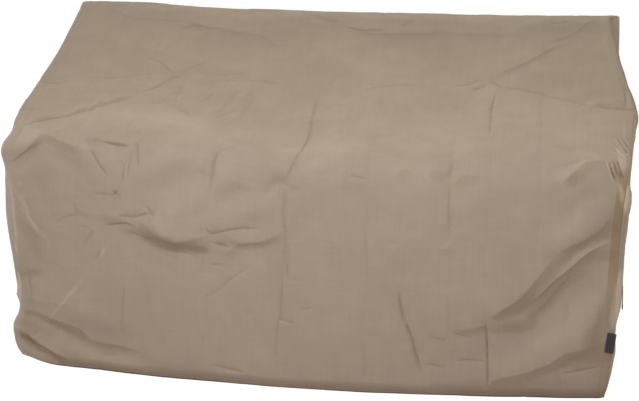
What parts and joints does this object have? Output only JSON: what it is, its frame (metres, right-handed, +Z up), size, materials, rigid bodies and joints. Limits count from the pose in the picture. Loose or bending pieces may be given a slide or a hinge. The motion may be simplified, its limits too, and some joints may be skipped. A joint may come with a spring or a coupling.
{
  "type": "garden bench cover",
  "caption": "Fitted cloth cover for a garden bench, with a sloped top, two shaped side panels, a plain hem, a bare seam tag and a webbing tab.",
  "frame": {"origin": "on the ground under the middle of the cover as it hangs on a bench", "axes": "+Z up, +X along the bench to the right as seen from the front, the front of the cover faces -Y"},
  "size_m": [1.7068, 0.8221, 0.904],
  "materials": {
    "cover_cloth": "woven, water-resistant, faint sheen",
    "tag_cloth": "woven, dark, bare",
    "webbing": "woven webbing, dark"
  },
  "bodies": {
    "root": {"main_panel": "cover_cloth", "side_panel_left": "cover_cloth", "side_panel_right": "cover_cloth", "seam_tag": "tag_cloth", "webbing_tab": "webbing"}
  },
  "joints": []
}
